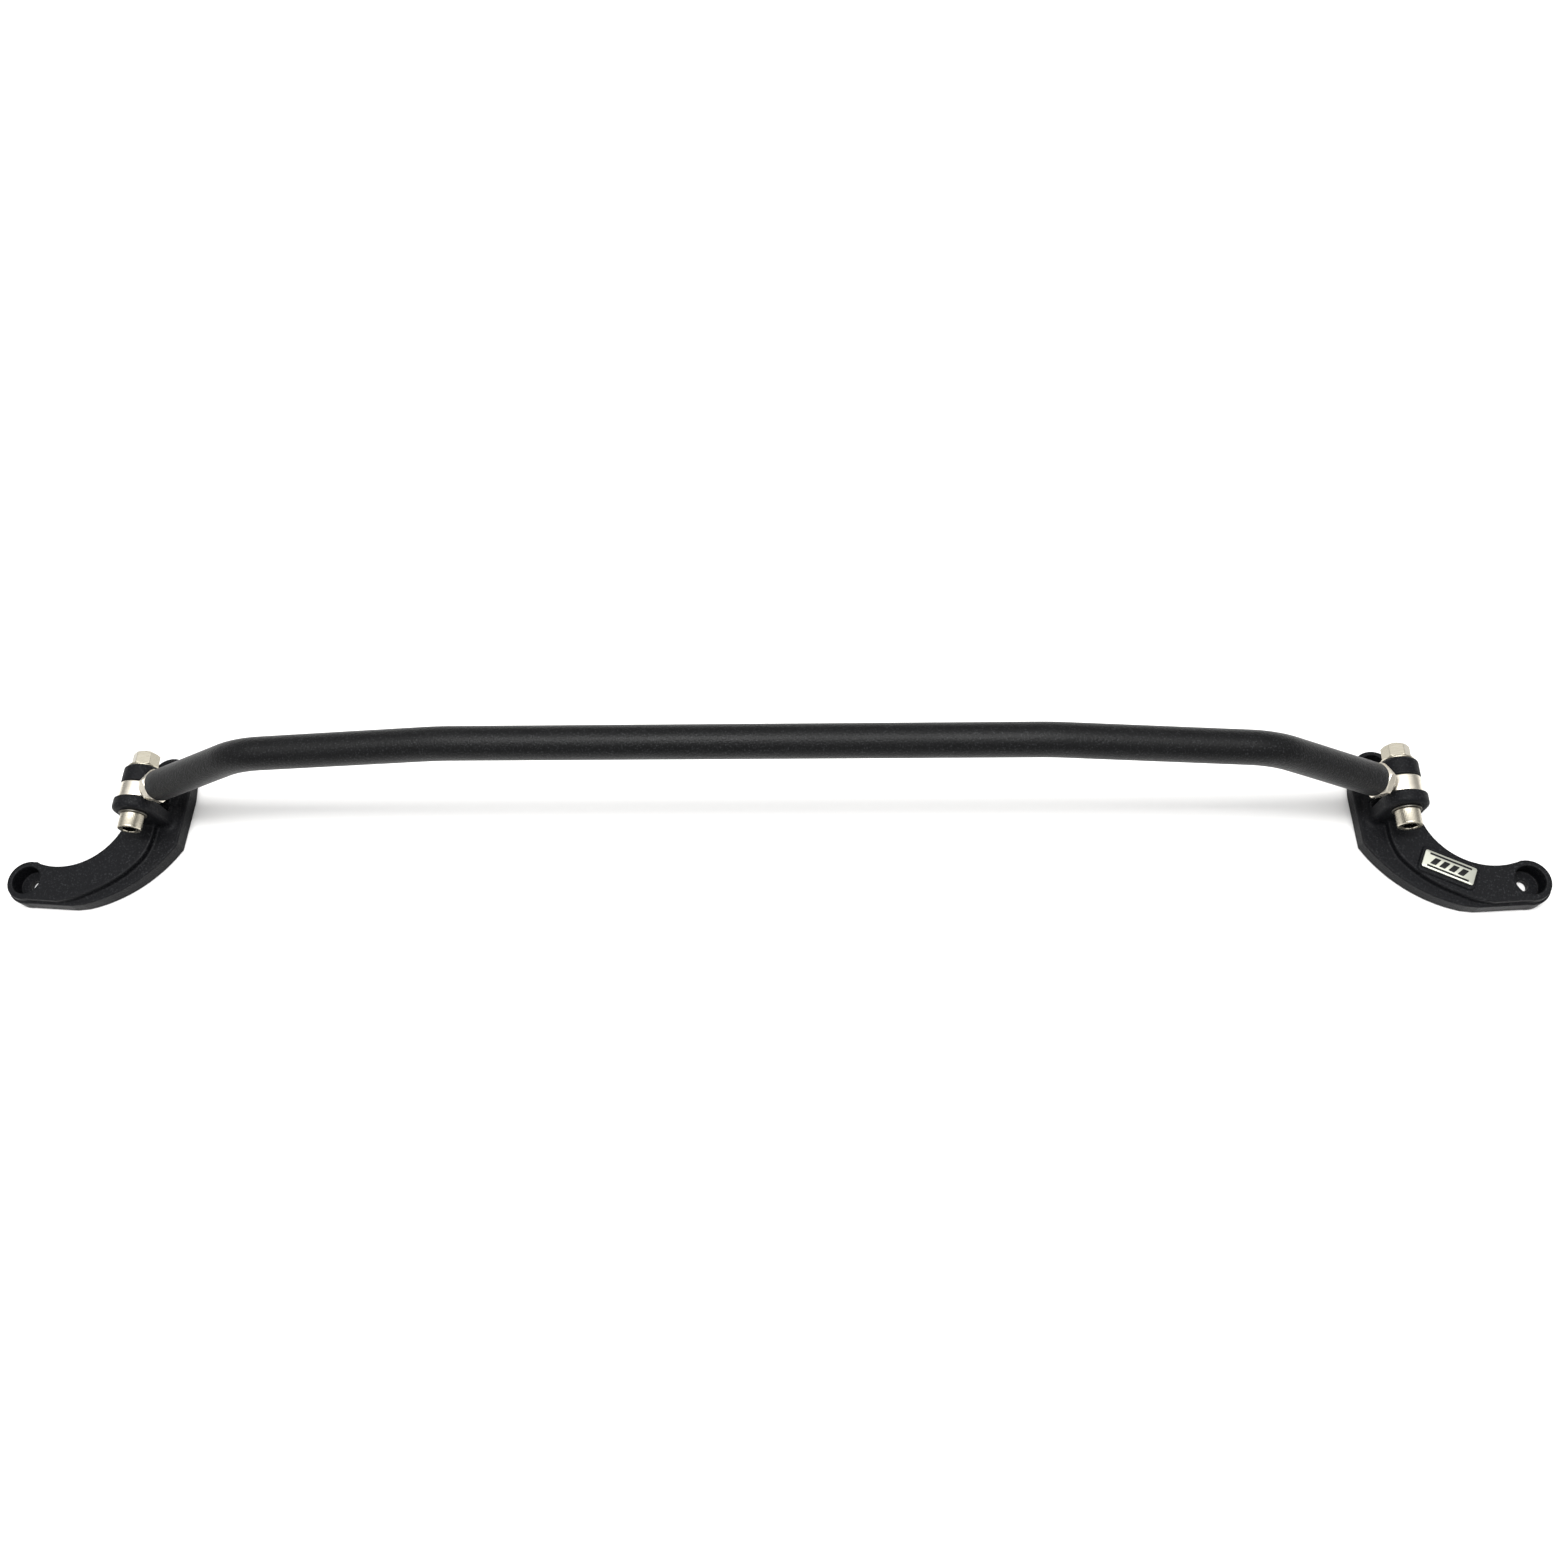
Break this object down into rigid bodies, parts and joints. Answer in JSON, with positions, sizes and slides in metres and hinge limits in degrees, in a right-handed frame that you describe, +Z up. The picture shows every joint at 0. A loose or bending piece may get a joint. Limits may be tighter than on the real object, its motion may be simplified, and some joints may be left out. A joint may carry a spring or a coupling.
{
  "type": "strut tower brace",
  "caption": "Bent tubular strut tower brace with adjustable eye ends pivoting in the clevises of curved cast stud brackets.",
  "frame": {"origin": "middle of the footprint on the ground plane under both brackets", "axes": "+X along the bar to the bracket with the badge, +Y to the side of the pivot nuts, +Z up"},
  "size_m": [1.2044, 0.1248, 0.1527],
  "materials": {
    "tube_coat": "black textured powder coat, satin",
    "bracket_coat": "black textured powder coat on cast metal, satin",
    "steel": "machined steel, plain",
    "jam_nut_plate": "bright nickel plate",
    "eye_metal": "machined and nickel plated, satin",
    "bush_bronze": "sintered bronze",
    "bolt_metal": "stainless steel, satin",
    "nut_metal": "stainless steel, satin",
    "head_washer_metal": "dark zinc plate",
    "nut_washer_metal": "bright zinc plate",
    "badge_metal": "brushed plate with dark printed stripes"
  },
  "bodies": {
    "bar": {"bar_tube": "tube_coat", "tube_bung_left": "steel", "tube_bung_right": "steel", "jam_nut_left": "jam_nut_plate", "jam_nut_right": "jam_nut_plate"},
    "end_left": {"eye_end_left": "eye_metal", "eye_bush_left": "bush_bronze"},
    "foot_left": {"bracket_left": "bracket_coat", "pivot_bolt_left": "bolt_metal", "pivot_nut_left": "nut_metal", "head_washer_left": "head_washer_metal", "nut_washer_left": "nut_washer_metal"},
    "end_right": {"eye_end_right": "eye_metal", "eye_bush_right": "bush_bronze"},
    "foot_right": {"bracket_right": "bracket_coat", "pivot_bolt_right": "bolt_metal", "pivot_nut_right": "nut_metal", "head_washer_right": "head_washer_metal", "nut_washer_right": "nut_washer_metal", "badge_plate": "badge_metal"}
  },
  "joints": [
    {"name": "adjust_right", "type": "slide", "parent": "bar", "child": "end_right", "axis": [0.8332, 0, -0.553], "range_m": [-0.002, 0.012]},
    {"name": "pivot_right", "type": "hinge", "parent": "end_right", "child": "foot_right", "pos_m": [0.494, 0.02115, 0.045], "axis": [0, -1, 0], "range_deg": [-20, 25]},
    {"name": "adjust_left", "type": "slide", "parent": "bar", "child": "end_left", "axis": [-0.8332, 0, -0.553], "range_m": [-0.002, 0.012]},
    {"name": "pivot_left", "type": "hinge", "parent": "end_left", "child": "foot_left", "pos_m": [-0.494, 0.02115, 0.045], "axis": [0, 1, 0], "range_deg": [-20, 25]}
  ]
}
